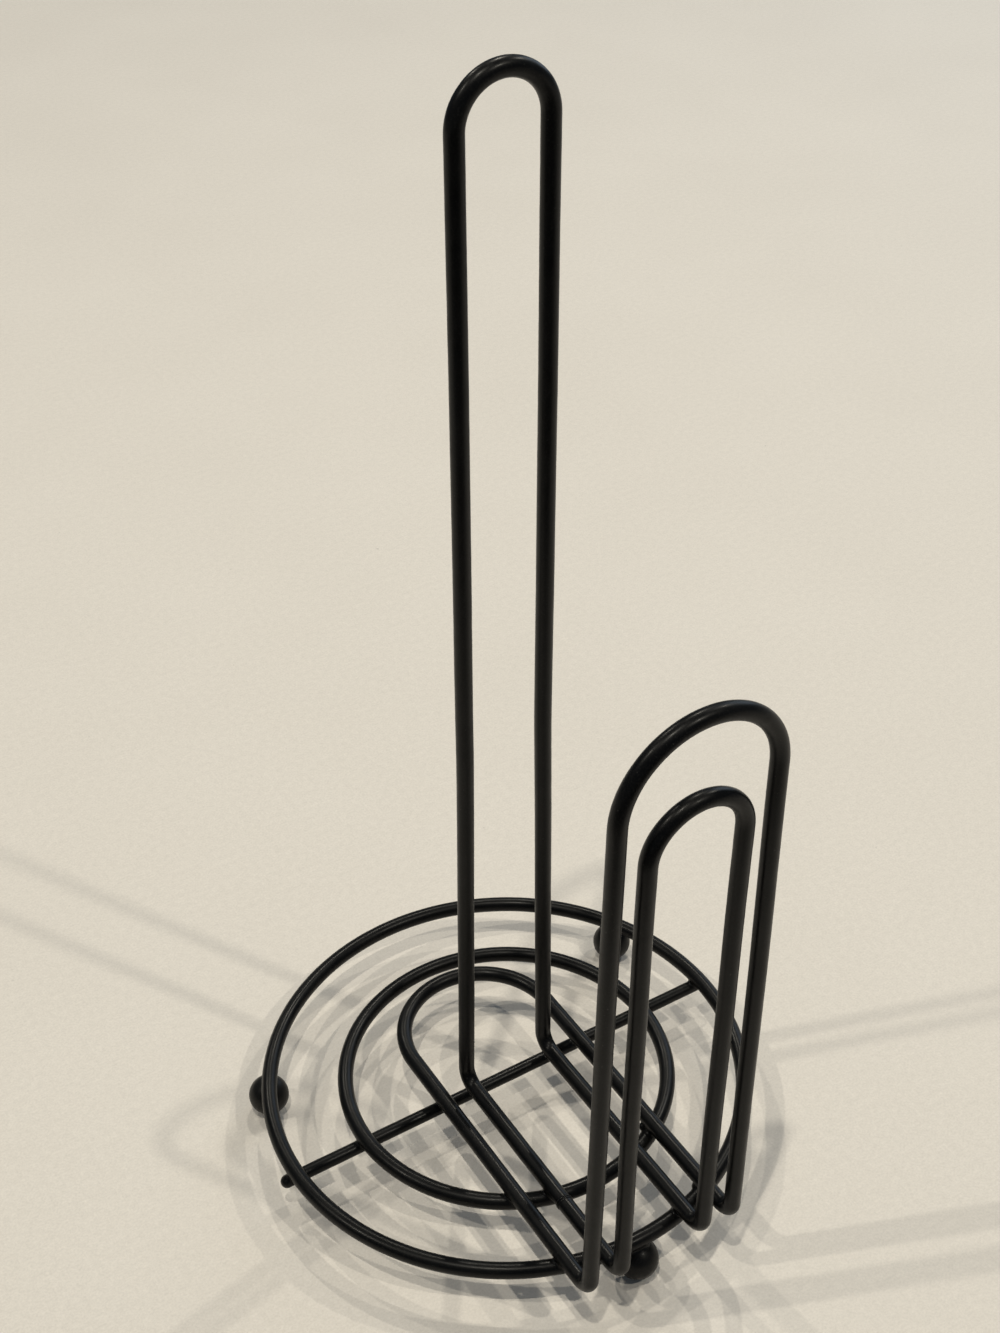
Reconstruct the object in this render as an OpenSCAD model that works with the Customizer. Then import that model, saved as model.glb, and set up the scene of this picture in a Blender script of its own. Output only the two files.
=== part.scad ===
// Counter-top paper towel holder, bent and welded from coated steel wire.
// Origin: centre of the base rings, at table height. +Z is up, the front arms stand
// towards -Y, and the cross bar lies along X. Lengths are in millimetres.

/* [Wire] */
// Coated diameter of the wire of the rings, the mast and the front arms
wire_d = 4.9; // [4.4:0.02:5.2]
// Coated diameter of the thinner cross bar
bar_d = 4.1; // [3.6:0.1:4.4]

/* [Base] */
// Diameter of the outer ring, on the wire's centre line
outer_ring_d = 150; // [144:1:160]
// Diameter of the inner ring, on the wire's centre line
inner_ring_d = 102; // [98:1:108]
// How far each domed end of the cross bar stands out past the outer ring
bar_overhang = 2.1; // [0.5:0.1:6]
// How far the cross bar lies behind the centre of the rings
bar_shift = 0.8; // [0:0.1:1.5]

/* [Feet] */
// Diameter of each ball foot
foot_d = 12.7; // [11:0.1:14]
// Diameter of the small flat that each ball stands on
foot_flat_d = 3; // [2:0.1:5]
// Angles of the front, right and left foot round the base
foot_angles = [-91, 29, 150]; // [-180:1:180]
// How far each foot stands out past the centre line of the outer ring
foot_outsets = [0, 0, 0.9]; // [0:0.1:1.5]

/* [Mast] */
// Height of the top of the mast above the table
mast_h = 341; // [300:1:360]
// Distance between the mast's legs, from its waist up to its top
mast_w = 25.2; // [22:0.2:28]
// Height of the mast's waist, below which its legs spread
mast_waist_h = 150; // [120:5:180]
// How far the mast's foot lies behind the centre of the rings
mast_shift = 0.6; // [0:0.1:2]
// How far the mast's top hangs forward of its foot
mast_lean = 3; // [0:0.5:6]
// Radius of the bend at the mast's foot, on the wire's centre line
mast_bend_r = 5.5; // [4.5:0.5:12]

/* [Front arms] */
// Distance from the centre of the rings to the foot of the arms
arm_reach = 84.5; // [82:0.5:92]
// Distance between the runs of the outer arm along the base
outer_arm_w = 49.5; // [47:0.5:52]
// Distance between the legs of the outer arm at its top
outer_arm_top_w = 46.2; // [44:0.2:50]
// Height of the top of the outer arm above the table
outer_arm_h = 219; // [200:1:240]
// Distance between the runs and the legs of the inner arm
inner_arm_w = 28.4; // [26:0.2:30]
// Height of the top of the inner arm above the table
inner_arm_h = 194.4; // [160:0.2:198]
// How far the top of each arm hangs outwards
arm_lean = 2.9; // [0:0.1:6]
// Radius of the bend at the foot of each arm, on the wire's centre line
arm_bend_r = 5.5; // [4.5:0.5:8]
// How far the centre of the half-round loop lies behind the centre of the rings
loop_shift = 15.2; // [12:0.2:18]

/* [Welds] */
// How far two crossing wires are pressed into each other by their weld
weld_set = 0.5; // [0.3:0.05:0.6]
// How far a ball foot is pressed onto the outer ring by its weld
foot_set = 0.25; // [0.15:0.05:0.4]
// Diameter of the bead at a crossing
bead_d = 4.9; // [4.4:0.1:5.2]
// Diameter of the bead between a ball foot and the ring
foot_bead_d = 5.6; // [5:0.1:6]
// Distance of the butt seam in front of the centre of the rings
seam_reach = 55.5; // [54.5:0.5:66]
// How far the butt seam stands proud of the wire
seam_rise = 0.25; // [0.1:0.05:0.5]
// Width of the butt seam along the wire
seam_w = 1.4; // [0.8:0.1:2.4]

/* [Hidden] */
$fn = 64;
black = "#1c1c1b";
wire_r = wire_d / 2;
bar_r = bar_d / 2;
foot_r = foot_d / 2;
outer_r = outer_ring_d / 2;
inner_r = inner_ring_d / 2;
outer_x = outer_arm_w / 2;
outer_top_x = outer_arm_top_w / 2;
inner_x = inner_arm_w / 2;
mast_x = mast_w / 2;
bar_end = outer_r + wire_r + bar_overhang;
// Heights of the wires' centre lines above the table
foot_z = sqrt(foot_r * foot_r - foot_flat_d * foot_flat_d / 4);
ring_z = foot_z + foot_r + wire_r - foot_set;
bar_z = ring_z - wire_r - bar_r + weld_set;
run_z = ring_z + wire_d - weld_set;
mast_z = mast_h - wire_r;
outer_arm_z = outer_arm_h - wire_r;
inner_arm_z = inner_arm_h - wire_r;
// Radius of the slight bend at the waist
waist_bend_r = 300;
// Share of the mast's lean that is reached at its waist
waist_share = (mast_waist_h - run_z) / (mast_z - run_z);
// Ends of neighbouring lengths of wire stay this far short of the joint that closes them
joint_gap = 0.03;
joint_rise = 0.02;

function unit(v) = v / norm(v);
// Matrix that puts a shape's own axes along x, y and z, at o
function placed(x, y, z, o) = [for (i = [0:2]) [x[i], y[i], z[i], o[i]]];
// A direction square to w
function across(w) = unit(cross(abs(w[2]) < 0.9 ? [0, 0, 1] : [1, 0, 0], w));
// Radius that rounds both corners of a hairpin into one arch of half width x
function arch_r(x, leg) = x / tan(acos(unit(leg) * [-1, 0, 0]) / 2);
// Distance from the X axis at which a run at x crosses a ring of radius r
function crossing_y(r, x) = sqrt(r * r - x * x);

// A straight length of wire from a to b
module straight(a, b, d) {
    along = unit(b - a);
    side = across(along);
    multmatrix(placed(side, cross(along, side), along, a))
        cylinder(h = norm(b - a), d = d);
}

// A bend that starts at a point, heading along one direction and turning towards another
module bend(start, along, toward, r, angle, d) {
    gap_angle = joint_gap / r * 180 / PI;
    multmatrix(placed(-toward, along, cross(-toward, along), start + toward * r))
        rotate([0, 0, gap_angle])
            rotate_extrude(angle = angle - 2 * gap_angle)
                translate([r, 0])
                    circle(d = d);
}

// The joint that closes two neighbouring lengths of one wire, with its poles inside the wire
module joint(p, along, d) {
    side = across(along);
    multmatrix(placed(side, cross(along, side), along, p))
        sphere(d = d + 2 * joint_rise);
}

// A closed wire through a list of corners, each rounded to its own radius
module closed_wire(corners, radii, d) {
    n = len(corners);
    dir = [for (i = [0:n - 1]) unit(corners[(i + 1) % n] - corners[i])];
    turn = [for (i = [0:n - 1]) acos(dir[(i + n - 1) % n] * dir[i])];
    cut = [for (i = [0:n - 1]) radii[i] * tan(turn[i] / 2)];
    for (i = [0:n - 1]) {
        next = (i + 1) % n;
        before = dir[(i + n - 1) % n];
        a = corners[i] + dir[i] * cut[i];
        b = corners[next] - dir[i] * cut[next];
        bend(corners[i] - before * cut[i], before,
            unit(dir[i] - before * (before * dir[i])), radii[i], turn[i], d);
        joint(a, dir[i], d);
        if (norm(b - a) > 10 * joint_gap) {
            straight(a + joint_gap * dir[i], b - joint_gap * dir[i], d);
            joint(b, dir[i], d);
        }
    }
}

module ring(r) {
    translate([0, 0, ring_z])
        rotate_extrude()
            translate([r, 0])
                circle(d = wire_d);
}

// The four runs over the base, as straight lengths, for the dents they press into the rings
module runs() {
    for (x = [-outer_x, -inner_x, inner_x, outer_x])
        straight([x, 0, run_z], [x, -arm_reach, run_z], wire_d);
}

module bar_core() {
    translate([-bar_end + bar_r, bar_shift, bar_z])
        rotate([0, 90, 0])
            cylinder(h = 2 * (bar_end - bar_r), d = bar_d);
}

// Places something at one foot, out past the ring by a share of that foot's outset
module place_foot(i, share = 1) {
    rotate([0, 0, foot_angles[i]])
        translate([outer_r + share * foot_outsets[i], 0, 0])
            children();
}

// A ball with a small flat underneath and a shallow seat for the ring on top
module foot(i) {
    difference() {
        place_foot(i)
            intersection() {
                translate([0, 0, foot_z])
                    sphere(d = foot_d);
                translate([0, 0, foot_r])
                    cube(foot_d, center = true);
            }
        ring(outer_r);
    }
}

// Beads between a ring and the four runs that cross it
module run_beads(r) {
    difference() {
        for (x = [-outer_x, -inner_x, inner_x, outer_x])
            translate([x, -crossing_y(r, x), (ring_z + run_z) / 2])
                sphere(d = bead_d);
        ring(r);
        runs();
    }
}

module outer_ring() {
    color(black)
        difference() {
            ring(outer_r);
            runs();
        }
}

module inner_ring() {
    color(black)
        difference() {
            ring(inner_r);
            runs();
        }
}

module cross_bar() {
    color(black)
        difference() {
            union() {
                bar_core();
                for (side = [-1, 1])
                    translate([side * (bar_end - bar_r), bar_shift, bar_z])
                        sphere(d = bar_d);
            }
            ring(outer_r);
            ring(inner_r);
        }
}

// Mast, its two runs and the inner front arm, all one wire
module mast_wire() {
    foot_y = mast_shift;
    waist_y = mast_shift - mast_lean * waist_share;
    top_y = mast_shift - mast_lean;
    mast_leg = [0, top_y - waist_y, mast_z - mast_waist_h];
    arm_leg = [0, -arm_lean, inner_arm_z - run_z];
    right = [[inner_x, -arm_reach, run_z], [inner_x, foot_y, run_z],
        [mast_x, waist_y, mast_waist_h], [mast_x, top_y, mast_z]];
    left = [for (i = [3:-1:0]) [-right[i][0], right[i][1], right[i][2]]];
    arm_top = [[-inner_x, -arm_reach - arm_lean, inner_arm_z],
        [inner_x, -arm_reach - arm_lean, inner_arm_z]];
    mast_arch = arch_r(mast_x, mast_leg);
    arm_arch = arch_r(inner_x, arm_leg);
    radii = [arm_bend_r, mast_bend_r, waist_bend_r, mast_arch];
    color(black)
        closed_wire(concat(right, left, arm_top),
            concat(radii, [for (i = [3:-1:0]) radii[i]], [arm_arch, arm_arch]), wire_d);
}

// Outer front arm, its two runs and the loop behind the mast, all one wire
module outer_arm_wire() {
    back_y = loop_shift + outer_x;
    top_y = -arm_reach - arm_lean;
    leg = [outer_top_x - outer_x, -arm_lean, outer_arm_z - run_z];
    arch = arch_r(outer_top_x, leg);
    corners = [[-outer_x, back_y, run_z], [outer_x, back_y, run_z],
        [outer_x, -arm_reach, run_z], [outer_top_x, top_y, outer_arm_z],
        [-outer_top_x, top_y, outer_arm_z], [-outer_x, -arm_reach, run_z]];
    color(black)
        closed_wire(corners, [outer_x, outer_x, arm_bend_r, arch, arch, arm_bend_r], wire_d);
}

module foot_front() {
    color(black)
        foot(0);
}

module foot_right() {
    color(black)
        foot(1);
}

module foot_left() {
    color(black)
        foot(2);
}

module bar_welds() {
    bead_z = (ring_z - wire_r + bar_z + bar_r) / 2;
    color(black)
        difference() {
            for (r = [outer_r, inner_r], side = [-1, 1])
                translate([side * crossing_y(r, bar_shift), bar_shift, bead_z])
                    sphere(d = bead_d);
            bar_core();
            ring(outer_r);
            ring(inner_r);
        }
}

module inner_ring_welds() {
    color(black)
        run_beads(inner_r);
}

module outer_ring_welds() {
    color(black)
        run_beads(outer_r);
}

module foot_welds() {
    color(black)
        difference() {
            for (i = [0 : len(foot_angles) - 1])
                place_foot(i, 0.5)
                    translate([0, 0, ring_z - wire_r])
                        sphere(d = foot_bead_d);
            for (i = [0 : len(foot_angles) - 1])
                place_foot(i)
                    translate([0, 0, foot_z])
                        sphere(d = foot_d);
            ring(outer_r);
        }
}

// The raised seam round the inner left run, where the mast's wire was closed
module butt_weld() {
    color(black)
        translate([-inner_x, -seam_reach, run_z])
            rotate([90, 0, 0])
                rotate_extrude()
                    translate([wire_r, -seam_w / 2])
                        square([seam_rise, seam_w]);
}

outer_ring();
inner_ring();
cross_bar();
mast_wire();
outer_arm_wire();
foot_front();
foot_right();
foot_left();
bar_welds();
inner_ring_welds();
outer_ring_welds();
foot_welds();
butt_weld();
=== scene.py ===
"""The looks of a paper towel holder bent and welded from coated steel wire, built around its CAD frame."""

import math

import bmesh
import bpy
import numpy as np
from mathutils import Matrix, Vector


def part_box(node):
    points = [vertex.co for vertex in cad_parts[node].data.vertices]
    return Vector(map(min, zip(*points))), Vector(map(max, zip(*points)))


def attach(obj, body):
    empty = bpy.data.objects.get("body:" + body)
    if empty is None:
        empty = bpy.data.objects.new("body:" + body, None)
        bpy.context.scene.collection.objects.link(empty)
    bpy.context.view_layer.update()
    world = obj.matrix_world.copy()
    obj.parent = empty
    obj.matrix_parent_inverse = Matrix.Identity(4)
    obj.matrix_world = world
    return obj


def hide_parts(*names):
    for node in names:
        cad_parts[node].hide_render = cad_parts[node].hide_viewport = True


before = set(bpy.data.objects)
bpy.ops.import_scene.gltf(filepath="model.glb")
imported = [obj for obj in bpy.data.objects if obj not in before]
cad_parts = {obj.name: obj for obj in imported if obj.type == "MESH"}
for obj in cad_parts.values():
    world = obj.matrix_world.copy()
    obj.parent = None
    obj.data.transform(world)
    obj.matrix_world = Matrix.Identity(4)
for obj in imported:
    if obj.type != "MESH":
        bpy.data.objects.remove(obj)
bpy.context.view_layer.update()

MM = 0.001

# Sizes read off the frame, in metres
outer_lo, outer_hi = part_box("outer_ring")
bar_lo, bar_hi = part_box("cross_bar")
mast_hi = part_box("mast_wire")[1]
arm_lo, arm_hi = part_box("outer_arm_wire")
foot_lo, foot_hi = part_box("foot_front")
seam_lo, seam_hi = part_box("butt_weld")

# The joints along the CAD's bent wires stand this far proud of the wire, and so do those wires' boxes
JOINT_RISE = 0.02 * MM
WIRE_R = (outer_hi.z - outer_lo.z) / 2
RING_Z = outer_lo.z + WIRE_R
OUTER_R = outer_hi.x - WIRE_R
INNER_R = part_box("inner_ring")[1].x - WIRE_R
BAR_R = (bar_hi.y - bar_lo.y) / 2
BAR_Y = (bar_hi.y + bar_lo.y) / 2
BAR_Z = bar_lo.z + BAR_R
BAR_END = bar_hi.x
INNER_X = mast_hi.x - WIRE_R - JOINT_RISE
MAST_Z = mast_hi.z - WIRE_R - JOINT_RISE
OUTER_X = arm_hi.x - WIRE_R - JOINT_RISE
RUN_Z = arm_lo.z + WIRE_R + JOINT_RISE
LOOP_Y = arm_hi.y - WIRE_R - JOINT_RISE
ARM_TOP_Y = arm_lo.y + WIRE_R + JOINT_RISE
OUTER_ARM_Z = arm_hi.z - WIRE_R - JOINT_RISE
FOOT_R = (foot_hi.x - foot_lo.x) / 2
SEAM_Y = (seam_hi.y + seam_lo.y) / 2

# Sizes that the frame's boxes don't give, as in the CAD source
ARM_LEAN = 2.9 * MM
ARM_Y = ARM_TOP_Y + ARM_LEAN
ARM_BEND_R = 5.5 * MM
INNER_ARM_Z = 191.95 * MM
OUTER_TOP_X = 23.1 * MM
MAST_X = 12.6 * MM
MAST_FOOT_Y = 0.6 * MM
MAST_TOP_Y = -2.4 * MM
MAST_BEND_R = 5.5 * MM
WAIST_Z = 150 * MM
WAIST_BEND_R = 300 * MM
FOOT_FLAT_R = 1.5 * MM
FEET = ("foot_front", "foot_right", "foot_left")

# How finely the wires and the feet are meshed
WIRE_SIDES = 40
ARC_STEP = math.radians(4)
STRAIGHT_STEP = 3 * MM
DOME_ROWS = 12
BAR_ROWS = 60
FOOT_SIDES = 64
FOOT_ROWS = 44
FOOT_TIP_ANGLE = 0.06
SEAM_SIDES = 48
# Points of a wire's line that are closer than this count as one
SAME_POINT = 0.01 * MM

# Wavelength and height of the unevenness that bending, coating and turning leave
WANDER_WAVE, WANDER = 90 * MM, 0.06 * MM
COAT_LONG_WAVE, COAT_SHORT_WAVE, COAT_RELIEF = 9 * MM, 3.5 * MM, 0.015 * MM
FOOT_RELIEF = 0.012 * MM
SEAM_RELIEF = 0.03 * MM
TURNED_WAVE = 4 * MM


# ---------------------------------------------------------------- shapes of wire

def unit(v):
    """The vector, scaled to a length of 1."""
    return v / np.linalg.norm(v)


def waves(points, wavelength, seed):
    """A smooth, seeded value at each point, mostly between -1 and 1, that varies over a wavelength."""
    random = np.random.default_rng(seed)
    total = np.zeros(len(points))
    count = 6
    for _ in range(count):
        direction = unit(random.normal(size=3))
        phase = random.uniform(0, 2 * math.pi)
        stretch = random.uniform(0.7, 1.4)
        total += np.sin(points @ direction * (2 * math.pi * stretch / wavelength) + phase)
    return total / math.sqrt(count)


def arch_radius(half_width, leg):
    """The radius that rounds both corners of a hairpin into one arch."""
    return half_width / math.tan(math.acos(-unit(leg)[0]) / 2)


def arc_points(corner, before, after, radius):
    """Points of the bend that rounds a corner between two directions."""
    turn = math.acos(float(np.clip(before @ after, -1, 1)))
    cut = radius * math.tan(turn / 2)
    toward = unit(after - before * (before @ after))
    start = corner - before * cut
    count = max(3, math.ceil(turn / ARC_STEP))
    angles = np.linspace(0, turn, count + 1)[:, None]
    return start + radius * (before * np.sin(angles) + toward * (1 - np.cos(angles)))


def rounded_path(corners, radii):
    """The centre line of a closed wire through its corners, each rounded to its own radius."""
    corners = np.array(corners, float)
    count = len(corners)
    direction = [unit(corners[(i + 1) % count] - corners[i]) for i in range(count)]
    arcs = [arc_points(corners[i], direction[i - 1], direction[i], radii[i]) for i in range(count)]
    path = []
    for i, arc in enumerate(arcs):
        path.extend(arc)
        gap = arcs[(i + 1) % count][0] - arc[-1]
        steps = int(np.linalg.norm(gap) / STRAIGHT_STEP)
        path.extend(arc[-1] + gap * (k / (steps + 1)) for k in range(1, steps + 1))
    kept = [p for i, p in enumerate(path) if np.linalg.norm(p - path[i - 1]) > SAME_POINT]
    return np.array(kept)


def hand_bent(path, seed):
    """The path with the slight waviness that a bent and welded wire has."""
    wander = [waves(path, WANDER_WAVE, seed + axis) for axis in range(3)]
    return path + WANDER * np.stack(wander, axis=1)


def turned_frames(path, closed):
    """Tangents and a pair of cross directions along a path, with no more twist than it needs."""
    if closed:
        tangents = np.roll(path, -1, axis=0) - np.roll(path, 1, axis=0)
    else:
        tangents = np.gradient(path, axis=0)
    tangents /= np.linalg.norm(tangents, axis=1)[:, None]
    first = np.cross(tangents[0], [0, 0, 1])
    sides = [unit(first if np.linalg.norm(first) > 0.1 else np.cross(tangents[0], [1, 0, 0]))]
    for t in tangents[1:]:
        sides.append(unit(sides[-1] - t * (sides[-1] @ t)))
    sides = np.array(sides)
    if closed:
        last = unit(sides[-1] - tangents[0] * (sides[-1] @ tangents[0]))
        twist = math.atan2(np.cross(last, sides[0]) @ tangents[0], last @ sides[0])
        share = np.linspace(0, twist, len(path))[:, None]
        sides = sides * np.cos(share) + np.cross(tangents, sides) * np.sin(share)
    return tangents, sides, np.cross(tangents, sides)


def tube(path, radii, closed, seed):
    """Vertices and quads of a wire along a path, a radius for each point, with its coat's unevenness."""
    _, side, up = turned_frames(path, closed)
    around = np.linspace(0, 2 * math.pi, WIRE_SIDES, endpoint=False)
    normals = (side[:, None] * np.cos(around)[None, :, None] + up[:, None] * np.sin(around)[None, :, None])
    surface = path[:, None] + normals * np.asarray(radii).reshape(-1, 1, 1)
    flat, flat_normals = surface.reshape(-1, 3), normals.reshape(-1, 3)
    unevenness = 0.6 * waves(flat, COAT_LONG_WAVE, seed) + 0.4 * waves(flat, COAT_SHORT_WAVE, seed + 1)
    flat = flat + flat_normals * (COAT_RELIEF * unevenness)[:, None]
    rows = len(path)
    faces = []
    for i in range(rows if closed else rows - 1):
        here, there = i * WIRE_SIDES, (i + 1) % rows * WIRE_SIDES
        for j in range(WIRE_SIDES):
            k = (j + 1) % WIRE_SIDES
            faces.append((here + j, here + k, there + k, there + j))
    return flat, faces


def capped(vertices, faces, tip_a, tip_b):
    """A tube's mesh closed by a fan of triangles to a tip at each end."""
    count = len(vertices)
    vertices = np.vstack([vertices, tip_a, tip_b])
    last = count - WIRE_SIDES
    for j in range(WIRE_SIDES):
        k = (j + 1) % WIRE_SIDES
        faces.append((k, j, count))
        faces.append((last + j, last + k, count + 1))
    return vertices, faces


def lathe(profile, sides, origin, axis, seed, relief):
    """A turned shape: profile gives (radius, height) from tip to tip, and a radius of 0 closes an end."""
    axis = np.array(axis, float)
    side = unit(np.cross(axis, [1, 0, 0] if abs(axis[0]) < 0.9 else [0, 1, 0]))
    up = np.cross(axis, side)
    vertices, rows = [], []
    for radius, height in profile:
        centre = np.array(origin) + axis * height
        count = 1 if radius == 0 else sides
        rows.append(range(len(vertices), len(vertices) + count))
        for j in range(count):
            angle = 2 * math.pi * j / sides
            vertices.append(centre + radius * (side * math.cos(angle) + up * math.sin(angle)))
    faces = []
    for low, high in zip(rows, rows[1:]):
        for j in range(sides):
            k = (j + 1) % sides
            corners = [low[j % len(low)], low[k % len(low)], high[k % len(high)], high[j % len(high)]]
            faces.append(tuple(dict.fromkeys(corners)))
    vertices = np.array(vertices)
    outward = vertices - np.array(origin)
    outward /= np.maximum(np.linalg.norm(outward, axis=1), 1e-9)[:, None]
    return vertices + outward * (relief * waves(vertices, TURNED_WAVE, seed))[:, None], faces


# ---------------------------------------------------------------- welds, as blended distances

def wire_distance(through, axis, radius):
    """The distance from a straight wire, as a function of points."""
    through, axis = np.array(through, float), unit(np.array(axis, float))

    def distance(points):
        offset = points - through
        return np.linalg.norm(offset - np.outer(offset @ axis, axis), axis=1) - radius
    return distance


def ring_distance(ring_radius):
    """The distance from a base ring's wire, as a function of points."""
    def distance(points):
        out = np.hypot(points[:, 0], points[:, 1]) - ring_radius
        return np.hypot(out, points[:, 2] - RING_Z) - WIRE_R
    return distance


def ball_distance(centre, radius):
    """The distance from a ball, as a function of points."""
    centre = np.array(centre, float)
    return lambda points: np.linalg.norm(points - centre, axis=1) - radius


def blended(a, b, width):
    """The smaller of two distances, with a fillet of about the given width between them."""
    overlap = np.maximum(width - np.abs(a - b), 0) / width
    return np.minimum(a, b) - overlap * overlap * width / 4


def sphere_directions(subdivisions):
    """Directions spread evenly all round, and the triangles between them."""
    mesh = bmesh.new()
    bmesh.ops.create_icosphere(mesh, subdivisions=subdivisions, radius=1)
    directions = np.array([v.co for v in mesh.verts])
    faces = [tuple(v.index for v in f.verts) for f in mesh.faces]
    mesh.free()
    return directions, faces


BEAD_DIRECTIONS, BEAD_FACES = sphere_directions(4)
# How finely a bead's surface is looked for along each direction, and to how many times its reach
BEAD_STEPS = 60
BEAD_HALVINGS = 12
BEAD_SEARCH = 1.02
# How far a bead stands proud at its centre, and how much further it sinks by its reach
BEAD_PROUD = 0.03 * MM
BEAD_SINK = 0.1 * MM
BEAD_WAVE, BEAD_RELIEF = 2.2 * MM, 0.05 * MM


def first_crossing(outside, far):
    """How far out each direction first leaves the metal, looked for up to a distance."""
    count = len(BEAD_DIRECTIONS)
    inner = np.zeros(count)
    outer = np.full(count, far)
    found = np.zeros(count, bool)
    for k in range(1, BEAD_STEPS + 1):
        at = np.full(count, far * k / BEAD_STEPS)
        crossed = (outside(at) > 0) & ~found
        outer[crossed] = at[crossed]
        inner[crossed] = at[crossed] - far / BEAD_STEPS
        found |= crossed
    for _ in range(BEAD_HALVINGS):
        middle = (inner + outer) / 2
        out = outside(middle) > 0
        outer = np.where(out, middle, outer)
        inner = np.where(out, inner, middle)
    return inner


def bead(centre, shapes, fillet, reach, seed, lumps=()):
    """Weld metal round a centre: the blended surface of two shapes, which sinks into them at its reach."""
    centre = np.array(centre, float)

    def outside(distance_out):
        points = centre + BEAD_DIRECTIONS * distance_out[:, None]
        level = blended(shapes[0](points), shapes[1](points), fillet)
        for lump_at, lump_r in lumps:
            level = blended(level, ball_distance(lump_at, lump_r)(points), 0.5 * fillet)
        share = distance_out / reach
        uneven = BEAD_RELIEF * waves(points, BEAD_WAVE, seed)
        rise = (BEAD_PROUD + uneven) * (1 - 2 * share ** 2) - BEAD_SINK * share ** 4
        return np.maximum(level - rise, distance_out - reach)

    inner = first_crossing(outside, reach * BEAD_SEARCH)
    return centre + BEAD_DIRECTIONS * inner[:, None], BEAD_FACES


# ---------------------------------------------------------------- Blender objects

def make_piece(name, meshes, material, node):
    """One piece from one or more meshes that stands for a CAD node."""
    data = bpy.data.meshes.new(name)
    vertices, faces = [], []
    for part_vertices, part_faces in meshes:
        base = len(vertices)
        vertices.extend(map(tuple, part_vertices))
        faces.extend(tuple(base + i for i in f) for f in part_faces)
    data.from_pydata(vertices, [], faces)
    cleaner = bmesh.new()
    cleaner.from_mesh(data)
    bmesh.ops.recalc_face_normals(cleaner, faces=cleaner.faces)
    cleaner.to_mesh(data)
    cleaner.free()
    data.polygons.foreach_set("use_smooth", [True] * len(data.polygons))
    data.materials.append(material)
    piece = bpy.data.objects.new(name, data)
    bpy.context.scene.collection.objects.link(piece)
    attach(piece, "root")
    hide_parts(node)


# ---------------------------------------------------------------- materials

class Nodes:
    """A short way to add and link shader nodes."""

    def __init__(self, name):
        self.material = bpy.data.materials.new(name)
        self.material.use_nodes = True
        self.tree = self.material.node_tree
        self.shader = self.tree.nodes["Principled BSDF"]
        self.place = self.tree.nodes.new("ShaderNodeTexCoord").outputs["Object"]

    def add(self, kind, inputs=(), **settings):
        """A new node with its settings and its inputs, each a value or another node's output."""
        node = self.tree.nodes.new(kind)
        for key, value in settings.items():
            setattr(node, key, value)
        for key, value in dict(inputs).items():
            self.put(node.inputs[key], value)
        return node

    def put(self, socket, value):
        if isinstance(value, bpy.types.NodeSocket):
            self.tree.links.new(value, socket)
        else:
            socket.default_value = value

    def noise(self, per_metre, detail=2.0, roughness=0.5):
        """Noise from 0 to 1 that changes about as many times in a metre as it says."""
        inputs = {"Vector": self.place, "Scale": per_metre, "Detail": detail, "Roughness": roughness}
        return self.add("ShaderNodeTexNoise", inputs).outputs["Fac"]

    def ramp(self, value, source, target):
        """The value, carried from one range to another and held inside it."""
        inputs = {"Value": value, "From Min": source[0], "From Max": source[1],
                  "To Min": target[0], "To Max": target[1]}
        return self.add("ShaderNodeMapRange", inputs).outputs["Result"]

    def mix(self, share, a, b):
        """Colour a, with a share of colour b."""
        node = self.add("ShaderNodeMix", data_type="RGBA")
        self.put(node.inputs["Factor"], share)
        self.put(node.inputs["A"], a)
        self.put(node.inputs["B"], b)
        return node.outputs["Result"]

    def math(self, operation, a, b):
        node = self.add("ShaderNodeMath", operation=operation)
        self.put(node.inputs[0], a)
        self.put(node.inputs[1], b)
        return node.outputs["Value"]

    def bump(self, height, strength, distance, under=None):
        inputs = {"Height": height, "Strength": strength, "Distance": distance}
        node = self.add("ShaderNodeBump", inputs)
        if under is not None:
            self.put(node.inputs["Normal"], under)
        return node.outputs["Normal"]


COAT_DARK = (0.0012, 0.0013, 0.0015, 1)
WIRE_LIGHT = (0.0026, 0.0026, 0.0026, 1)
BALL_LIGHT = (0.0030, 0.0030, 0.0029, 1)
WELD_LIGHT = (0.0030, 0.0030, 0.0030, 1)
GRAIN_COLOUR, GRAIN_SHARE = (0.020, 0.0195, 0.0185, 1), 0.30
DUST_COLOUR, DUST_SHARE = (0.10, 0.097, 0.09, 1), 0.25
SCUFF_ROUGHNESS = 0.10
ROUGHNESS_SPREAD = 0.05


def coat_colour(n, light):
    """Near black and a little uneven, with a fine grain and specks of dust."""
    uneven = n.ramp(n.noise(45, detail=3), (0.3, 0.7), (0, 1))
    grain = n.ramp(n.noise(2200, detail=1), (0.50, 0.78), (0, 1))
    specks = n.ramp(n.noise(1500, detail=1, roughness=0.4), (0.74, 0.82), (0, 1))
    colour = n.mix(uneven, COAT_DARK, light)
    colour = n.mix(n.math("MULTIPLY", grain, GRAIN_SHARE), colour, GRAIN_COLOUR)
    return n.mix(n.math("MULTIPLY", specks, DUST_SHARE), colour, DUST_COLOUR)


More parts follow.
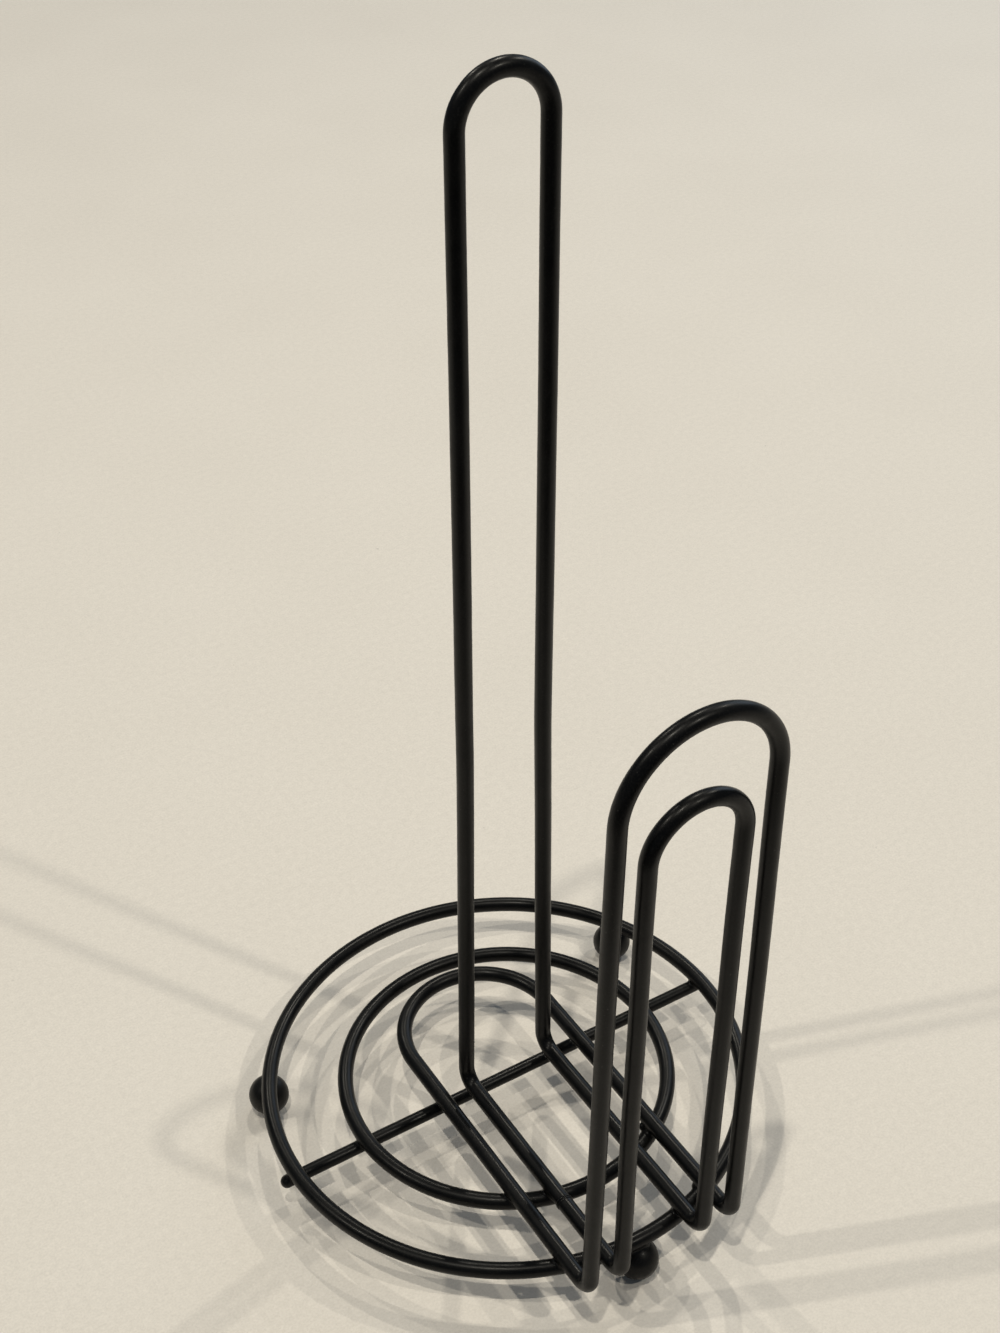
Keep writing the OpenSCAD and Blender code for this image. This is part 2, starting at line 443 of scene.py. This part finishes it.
def coat_material(name, light, roughness, peel):
    """Satin black coat: cloudy gloss with scuffs, over a fine bump and a faint orange peel."""
    n = Nodes(name)
    scuffs = n.ramp(n.noise(260, detail=4, roughness=0.7), (0.52, 0.75), (0, SCUFF_ROUGHNESS))
    cloud = n.ramp(n.noise(120), (0.3, 0.7), (roughness - ROUGHNESS_SPREAD, roughness + ROUGHNESS_SPREAD))
    fine = n.bump(n.noise(2400), 0.20, 0.05 * MM)
    orange = n.bump(n.noise(700), peel, 0.12 * MM, fine)
    n.put(n.shader.inputs["Base Color"], coat_colour(n, light))
    n.put(n.shader.inputs["Roughness"], n.math("ADD", cloud, scuffs))
    n.put(n.shader.inputs["Normal"], orange)
    n.shader.inputs["IOR"].default_value = 1.5
    n.shader.inputs["Specular IOR Level"].default_value = 0.18
    n.shader.inputs["Coat Weight"].default_value = 0.03
    n.shader.inputs["Coat Roughness"].default_value = 0.16
    return n.material


FLOOR_DARK = (0.800, 0.755, 0.693, 1)
FLOOR_LIGHT = (0.825, 0.781, 0.720, 1)


def floor_material():
    """Plain pale counter with a faint mottle, a fine grain and a few small pits."""
    n = Nodes("pale_counter")
    mottle = n.ramp(n.noise(9, detail=5, roughness=0.6), (0.25, 0.75), (0, 1))
    base = n.mix(mottle, FLOOR_DARK, FLOOR_LIGHT)
    fine = n.ramp(n.noise(1300, detail=2, roughness=0.6), (0.25, 0.75), (0.93, 1.07))
    coarse = n.ramp(n.noise(380, detail=3, roughness=0.6), (0.25, 0.75), (0.96, 1.04))
    pits = n.ramp(n.noise(330, detail=1, roughness=0.4), (0.80, 0.86), (1.0, 0.80))
    shade = n.math("MULTIPLY", n.math("MULTIPLY", fine, coarse), pits)
    tint = n.add("ShaderNodeVectorMath", {0: base}, operation="SCALE")
    n.put(tint.inputs["Scale"], shade)
    n.put(n.shader.inputs["Base Color"], tint.outputs["Vector"])
    n.put(n.shader.inputs["Roughness"], n.ramp(mottle, (0, 1), (0.62, 0.72)))
    n.put(n.shader.inputs["Normal"], n.bump(n.noise(420, detail=4, roughness=0.7), 0.12, 0.3 * MM))
    n.shader.inputs["Specular IOR Level"].default_value = 0.25
    return n.material


# ---------------------------------------------------------------- the object

def mast_path():
    """Mast, its two runs along the base and the inner front arm: one closed wire."""
    mast_rise = np.array([MAST_X, MAST_TOP_Y, MAST_Z]) - [INNER_X, MAST_FOOT_Y, RUN_Z]
    waist_share = (WAIST_Z - RUN_Z) / mast_rise[2]
    waist_y = MAST_FOOT_Y + waist_share * (MAST_TOP_Y - MAST_FOOT_Y)
    right = [(INNER_X, ARM_Y, RUN_Z), (INNER_X, MAST_FOOT_Y, RUN_Z), (MAST_X, waist_y, WAIST_Z),
             (MAST_X, MAST_TOP_Y, MAST_Z)]
    left = [(-x, y, z) for x, y, z in reversed(right)]
    arm_top = [(-INNER_X, ARM_TOP_Y, INNER_ARM_Z), (INNER_X, ARM_TOP_Y, INNER_ARM_Z)]
    mast_leg = np.array([0, MAST_TOP_Y - waist_y, MAST_Z - WAIST_Z])
    arm_leg = np.array([0, -ARM_LEAN, INNER_ARM_Z - RUN_Z])
    right_radii = [ARM_BEND_R, MAST_BEND_R, WAIST_BEND_R, arch_radius(MAST_X, mast_leg)]
    arm_radii = [arch_radius(INNER_X, arm_leg)] * 2
    return rounded_path(right + left + arm_top, right_radii + right_radii[::-1] + arm_radii)


def outer_arm_path():
    """Outer front arm, its two runs along the base and the loop behind the mast: one closed wire."""
    leg = np.array([OUTER_TOP_X - OUTER_X, -ARM_LEAN, OUTER_ARM_Z - RUN_Z])
    arch = arch_radius(OUTER_TOP_X, leg)
    corners = [(-OUTER_X, LOOP_Y, RUN_Z), (OUTER_X, LOOP_Y, RUN_Z), (OUTER_X, ARM_Y, RUN_Z),
               (OUTER_TOP_X, ARM_TOP_Y, OUTER_ARM_Z), (-OUTER_TOP_X, ARM_TOP_Y, OUTER_ARM_Z),
               (-OUTER_X, ARM_Y, RUN_Z)]
    return rounded_path(corners, [OUTER_X, OUTER_X, ARM_BEND_R, arch, arch, ARM_BEND_R])


def ring_path(radius):
    """The centre line of a base ring."""
    count = round(2 * math.pi * radius / STRAIGHT_STEP)
    angles = np.linspace(0, 2 * math.pi, count, endpoint=False)
    return np.stack([radius * np.cos(angles), radius * np.sin(angles), np.full(count, RING_Z)], axis=1)


def bar_mesh():
    """The thinner bar across the rings, with a dome of coat on each end."""
    dome = np.linspace(0, math.pi / 2, DOME_ROWS)[1:]
    ends = BAR_R * (1 - np.cos(dome))
    middle = np.linspace(-BAR_END + BAR_R, BAR_END - BAR_R, BAR_ROWS)[1:-1]
    x = np.concatenate([-BAR_END + ends, middle, (BAR_END - ends)[::-1]])
    rounding = BAR_R * np.sin(dome)
    radii = np.concatenate([rounding, np.full(len(middle), BAR_R), rounding[::-1]])
    path = np.stack([x, np.full(len(x), BAR_Y), np.full(len(x), BAR_Z)], axis=1)
    vertices, faces = tube(path, radii, closed=False, seed=31)
    return capped(vertices, faces, (-BAR_END, BAR_Y, BAR_Z), (BAR_END, BAR_Y, BAR_Z))


def foot_mesh(node, seed):
    """A ball foot with a small worn flat underneath."""
    lo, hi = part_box(node)
    centre_z = lo.z + math.sqrt(FOOT_R ** 2 - FOOT_FLAT_R ** 2)
    flat_angle = math.asin(FOOT_FLAT_R / FOOT_R)
    angles = np.linspace(FOOT_TIP_ANGLE, math.pi - flat_angle, FOOT_ROWS)
    profile = [(0, FOOT_R)]
    profile += [(FOOT_R * math.sin(a), FOOT_R * math.cos(a)) for a in angles]
    profile += [(0.6 * FOOT_FLAT_R, lo.z - centre_z), (0, lo.z - centre_z)]
    origin = ((lo.x + hi.x) / 2, (lo.y + hi.y) / 2, centre_z)
    return lathe(profile, FOOT_SIDES, origin, (0, 0, 1), seed, FOOT_RELIEF)


# The four runs over the rings, from left to right
RUN_XS = (-OUTER_X, -INNER_X, INNER_X, OUTER_X)
# Width of the fillet of each kind of bead, and how far its metal reaches from its centre
RUN_BEAD = (1.5 * MM, 4.2 * MM)
BAR_BEAD = (1.4 * MM, 3.8 * MM)
FOOT_BEAD = (1.8 * MM, 4.4 * MM)
# Lumps of spilt weld metal: the run's number from 0, the place from the bead's centre, and the radius
INNER_LUMPS = [(3, (-2.6 * MM, 1.4 * MM, 0.2 * MM), 1.2 * MM)]
OUTER_LUMPS = [(3, (-1.9 * MM, 1.1 * MM, 0.0), 1.1 * MM),
               (3, (-3.0 * MM, -0.6 * MM, -0.6 * MM), 1.0 * MM)]
# The seam's outline in millimetres: distance along the wire, and height above its surface
SEAM_OUTLINE = [(-0.8, -0.5), (-0.75, 0.0), (-0.5, 0.18), (-0.2, 0.25), (-0.08, 0.12), (0.0, -0.08),
                (0.08, 0.14), (0.25, 0.25), (0.5, 0.16), (0.75, 0.0), (0.8, -0.5), (-0.8, -0.5)]


def run_beads(ring_radius, seed, lumps):
    """Weld metal where the four runs cross a ring."""
    meshes = []
    for i, x in enumerate(RUN_XS):
        y = -math.sqrt(ring_radius ** 2 - x ** 2)
        centre = (x, y, (RING_Z + RUN_Z) / 2)
        run = wire_distance((x, y, RUN_Z), (0, 1, 0), WIRE_R)
        own = [(np.array(centre) + offset, size) for at, offset, size in lumps if at == i]
        meshes.append(bead(centre, (run, ring_distance(ring_radius)), *RUN_BEAD, seed + i, own))
    return meshes


def bar_beads():
    """Weld metal where the rings cross the bar."""
    meshes = []
    bar = wire_distance((0, BAR_Y, BAR_Z), (1, 0, 0), BAR_R)
    for i, x in enumerate((-OUTER_R, -INNER_R, INNER_R, OUTER_R)):
        centre = (x, BAR_Y, (RING_Z - WIRE_R + BAR_Z + BAR_R) / 2)
        meshes.append(bead(centre, (bar, ring_distance(abs(x))), *BAR_BEAD, 61 + i))
    return meshes


def foot_beads():
    """Weld metal between each ball foot and the outer ring."""
    meshes = []
    for i, node in enumerate(FEET):
        lo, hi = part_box(node)
        x, y = (lo.x + hi.x) / 2, (lo.y + hi.y) / 2
        ball_z = lo.z + math.sqrt(FOOT_R ** 2 - FOOT_FLAT_R ** 2)
        centre = (x, y, (ball_z + FOOT_R + RING_Z - WIRE_R) / 2)
        ball = ball_distance((x, y, ball_z), FOOT_R)
        meshes.append(bead(centre, (ball, ring_distance(OUTER_R)), *FOOT_BEAD, 71 + i))
    return meshes


def seam_mesh(path):
    """The upset ring of metal, ground down and coated over, where the mast's wire was closed."""
    profile = [(WIRE_R + rise * MM, along * MM) for along, rise in SEAM_OUTLINE]
    spot = np.array([-INNER_X, SEAM_Y, RUN_Z])
    middle = path[np.argmin(np.linalg.norm(path - spot, axis=1))]
    return lathe(profile, SEAM_SIDES, (middle[0], SEAM_Y, middle[2]), (0, 1, 0), 81, SEAM_RELIEF)


def build_wires(mast_line):
    """The four closed wires and the straight bar."""
    coat = coat_material("coated_wire_black", WIRE_LIGHT, roughness=0.35, peel=0.06)
    outer_line = hand_bent(ring_path(OUTER_R), seed=1)
    inner_line = hand_bent(ring_path(INNER_R), seed=5)
    arm_line = hand_bent(outer_arm_path(), seed=14)
    for name, node, line, seed in (("outer_ring_wire", "outer_ring", outer_line, 21),
                                   ("inner_ring_wire", "inner_ring", inner_line, 25),
                                   ("mast_and_inner_arm", "mast_wire", mast_line, 29),
                                   ("outer_arm_and_loop", "outer_arm_wire", arm_line, 34)):
        wire = tube(line, [WIRE_R] * len(line), closed=True, seed=seed)
        make_piece(name, [wire], coat, node)
    make_piece("cross_bar_rod", [bar_mesh()], coat, "cross_bar")


def build_feet():
    """The three ball feet."""
    coat = coat_material("coated_foot_black", BALL_LIGHT, roughness=0.40, peel=0.06)
    for i, node in enumerate(FEET):
        make_piece(node + "_ball", [foot_mesh(node, 41 + i)], coat, node)


def build_welds(mast_line):
    """The weld metal at every crossing, and the seam that closes the mast's wire."""
    coat = coat_material("coated_weld_black", WELD_LIGHT, roughness=0.32, peel=0.25)
    inner_beads = run_beads(INNER_R, seed=51, lumps=INNER_LUMPS)
    outer_beads = run_beads(OUTER_R, seed=56, lumps=OUTER_LUMPS)
    for name, node, meshes in (("inner_ring_weld_beads", "inner_ring_welds", inner_beads),
                               ("outer_ring_weld_beads", "outer_ring_welds", outer_beads),
                               ("bar_weld_beads", "bar_welds", bar_beads()),
                               ("foot_weld_beads", "foot_welds", foot_beads()),
                               ("butt_weld_seam", "butt_weld", [seam_mesh(mast_line)])):
        make_piece(name, meshes, coat, node)


def build_object():
    """Every piece of the holder."""
    mast_line = hand_bent(mast_path(), seed=9)
    build_wires(mast_line)
    build_feet()
    build_welds(mast_line)


# ---------------------------------------------------------------- floor, light and camera

FLOOR_SIZE = 4.0
FLOOR_CELLS = 8


def build_floor():
    """The plain pale counter top that the object stands on."""
    mesh = bmesh.new()
    bmesh.ops.create_grid(mesh, x_segments=FLOOR_CELLS, y_segments=FLOOR_CELLS, size=FLOOR_SIZE / 2)
    data = bpy.data.meshes.new("counter_top")
    mesh.to_mesh(data)
    mesh.free()
    data.materials.append(floor_material())
    floor = bpy.data.objects.new("counter_top", data)
    bpy.context.scene.collection.objects.link(floor)


BACKDROP_RADIUS = 1.9
BACKDROP_HEIGHT = 4.0
BACKDROP_SIDES = 96
BACKDROP_COLOUR = (0.40, 0.385, 0.345, 1)


def build_backdrop():
    """A plain pale wall all round, far from the object, for the low views; it doesn't light or shade."""
    mesh = bmesh.new()
    bmesh.ops.create_cone(mesh, cap_ends=False, segments=BACKDROP_SIDES, radius1=BACKDROP_RADIUS,
                          radius2=BACKDROP_RADIUS, depth=BACKDROP_HEIGHT)
    data = bpy.data.meshes.new("backdrop")
    mesh.to_mesh(data)
    mesh.free()
    paint = bpy.data.materials.new("pale_backdrop")
    paint.use_nodes = True
    shader = paint.node_tree.nodes["Principled BSDF"]
    shader.inputs["Base Color"].default_value = (0, 0, 0, 1)
    shader.inputs["Specular IOR Level"].default_value = 0
    shader.inputs["Emission Color"].default_value = BACKDROP_COLOUR
    shader.inputs["Emission Strength"].default_value = 1
    data.materials.append(paint)
    backdrop = bpy.data.objects.new("backdrop", data)
    backdrop.location.z = BACKDROP_HEIGHT / 2
    backdrop.visible_diffuse = False
    backdrop.visible_glossy = False
    backdrop.visible_shadow = False
    bpy.context.scene.collection.objects.link(backdrop)


def add_light(name, azimuth, elevation, distance, size, power, colour):
    """A round soft light that faces the base, from a compass direction where 0 is +X and 90 is +Y."""
    a, e = math.radians(azimuth), math.radians(elevation)
    toward = Vector((math.cos(a) * math.cos(e), math.sin(a) * math.cos(e), math.sin(e)))
    data = bpy.data.lights.new(name, "AREA")
    data.shape = "DISK"
    data.size = size
    data.energy = power
    data.color = colour
    light = bpy.data.objects.new(name, data)
    light.location = toward * distance
    light.rotation_mode = "QUATERNION"
    light.rotation_quaternion = toward.to_track_quat("Z", "Y")
    bpy.context.scene.collection.objects.link(light)


WARM = (1.0, 0.94, 0.81)
COOL = (0.70, 0.84, 1.0)
CEILING = 1.9
LAMP_SIZE = 0.05
LAMP_POWER = 8.55
# Name, compass direction and elevation of each ceiling lamp, in degrees
LAMPS = (("lamp_overhead", 223.7, 75), ("lamp_back", 96, 44), ("lamp_front_right", 299.2, 55),
         ("lamp_back_right", 54.8, 53), ("lamp_right", 11.5, 46), ("lamp_left", 162.7, 53))
WINDOW_AZIMUTH = 24
WINDOW_ELEVATION = 24
WINDOW_DISTANCE = 2.4
WINDOW_SIZE = 1.3
WINDOW_POWER = 6.5
ROOM_COLOUR = (0.72, 0.85, 1.0, 1)
ROOM_STRENGTH = 0.12


def build_lights():
    """Small ceiling lamps all round, a soft cool window behind on the right, and a dim room."""
    for name, azimuth, elevation in LAMPS:
        distance = CEILING / math.sin(math.radians(elevation))
        add_light(name, azimuth, elevation, distance, LAMP_SIZE, LAMP_POWER, WARM)
    add_light("window", WINDOW_AZIMUTH, WINDOW_ELEVATION, WINDOW_DISTANCE, WINDOW_SIZE, WINDOW_POWER, COOL)
    world = bpy.data.worlds.new("dim_room")
    bpy.context.scene.world = world
    world.use_nodes = True
    background = world.node_tree.nodes["Background"]
    background.inputs["Color"].default_value = ROOM_COLOUR
    background.inputs["Strength"].default_value = ROOM_STRENGTH


# A black card that paints shade into the wires' reflections: the shaded counter in front, seen only in the
# gloss
REFLECTION_CARD_NEAR = 0.26
REFLECTION_CARD_WIDTH = 1.6
REFLECTION_CARD_DEPTH = 1.4
REFLECTION_CARD_LIFT = 2 * MM
REFLECTION_CARD_COLOUR = (0.004, 0.004, 0.004, 1)


def build_dark_reflection_card():
    """A black card low in front of the object, seen only in the gloss: a painted dark reflection that
    stands for the shaded counter in front.
    """
    data = bpy.data.meshes.new("dark_reflection_card")
    half, far = REFLECTION_CARD_WIDTH / 2, REFLECTION_CARD_NEAR + REFLECTION_CARD_DEPTH
    data.from_pydata([(-half, -far, 0), (half, -far, 0), (half, -REFLECTION_CARD_NEAR, 0), (-half, -REFLECTION_CARD_NEAR, 0)],
                     [], [(0, 1, 2, 3)])
    black = bpy.data.materials.new("painted_dark_reflection_black")
    black.use_nodes = True
    black.node_tree.nodes["Principled BSDF"].inputs["Base Color"].default_value = REFLECTION_CARD_COLOUR
    data.materials.append(black)
    shade_card = bpy.data.objects.new("dark_reflection_card", data)
    shade_card.location.z = REFLECTION_CARD_LIFT
    shade_card.rotation_euler.z = math.radians(CAMERA_AZIMUTH)
    # Hidden from the camera, from diffuse light and from shadows, so it shows only as a painted dark
    # reflection
    shade_card.visible_camera = False
    shade_card.visible_diffuse = False
    shade_card.visible_shadow = False
    bpy.context.scene.collection.objects.link(shade_card)


CAMERA_AZIMUTH = -31.34
CAMERA_ELEVATION = 37.0
CAMERA_ROLL = -0.56
CAMERA_DISTANCE = 0.5153
CAMERA_TARGET_Z = 0.17508
CAMERA_SIDESTEP = -0.00072
CAMERA_LENS = 52.0
SENSOR_WIDTH = 36


def build_camera():
    """The camera at the photograph's viewing angle: azimuth 0 looks along +Y."""
    a, e, roll = (math.radians(v) for v in (CAMERA_AZIMUTH, CAMERA_ELEVATION, CAMERA_ROLL))
    back = Vector((math.sin(a) * math.cos(e), -math.cos(a) * math.cos(e), math.sin(e)))
    right = Vector((0, 0, 1)).cross(back).normalized()
    up = back.cross(right)
    target = Vector((0, 0, CAMERA_TARGET_Z)) + right * CAMERA_SIDESTEP
    rolled_right = right * math.cos(roll) + up * math.sin(roll)
    rolled_up = up * math.cos(roll) - right * math.sin(roll)
    turn = Matrix((rolled_right, rolled_up, back)).transposed()
    data = bpy.data.cameras.new("camera")
    data.lens = CAMERA_LENS
    data.sensor_width = SENSOR_WIDTH
    data.clip_start = 0.01
    data.clip_end = 20
    camera = bpy.data.objects.new("camera", data)
    camera.matrix_world = Matrix.Translation(target + back * CAMERA_DISTANCE) @ turn.to_4x4()
    bpy.context.scene.collection.objects.link(camera)
    bpy.context.scene.camera = camera


build_camera()
build_object()
build_floor()
build_backdrop()
build_lights()
build_dark_reflection_card()
bpy.context.scene.view_settings.view_transform = "Standard"
